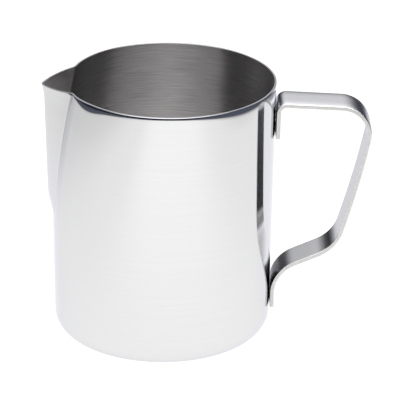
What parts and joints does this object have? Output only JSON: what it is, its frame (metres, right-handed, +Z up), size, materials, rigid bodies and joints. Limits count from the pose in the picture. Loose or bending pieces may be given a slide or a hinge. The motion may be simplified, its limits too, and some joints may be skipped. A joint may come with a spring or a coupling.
{
  "type": "milk frothing pitcher",
  "caption": "Stainless-steel milk frothing pitcher: drawn round body with a pinched V spout and a bent flat-bar handle spot-welded to its wall.",
  "frame": {"origin": "centre of the flat base, on the body's axis, at the surface the pitcher stands on", "axes": "+Z up along the body's axis; +X from the axis towards the handle, so the spout points to -X; +Y to the side"},
  "size_m": [0.1314, 0.0886, 0.1065],
  "materials": {
    "body_steel": "satin",
    "handle_steel": "satin",
    "weld_steel": "matt"
  },
  "bodies": {
    "root": {"body_shell": "body_steel", "handle_strap": "handle_steel", "upper_spot_welds": "weld_steel", "lower_spot_welds": "weld_steel"}
  },
  "joints": []
}
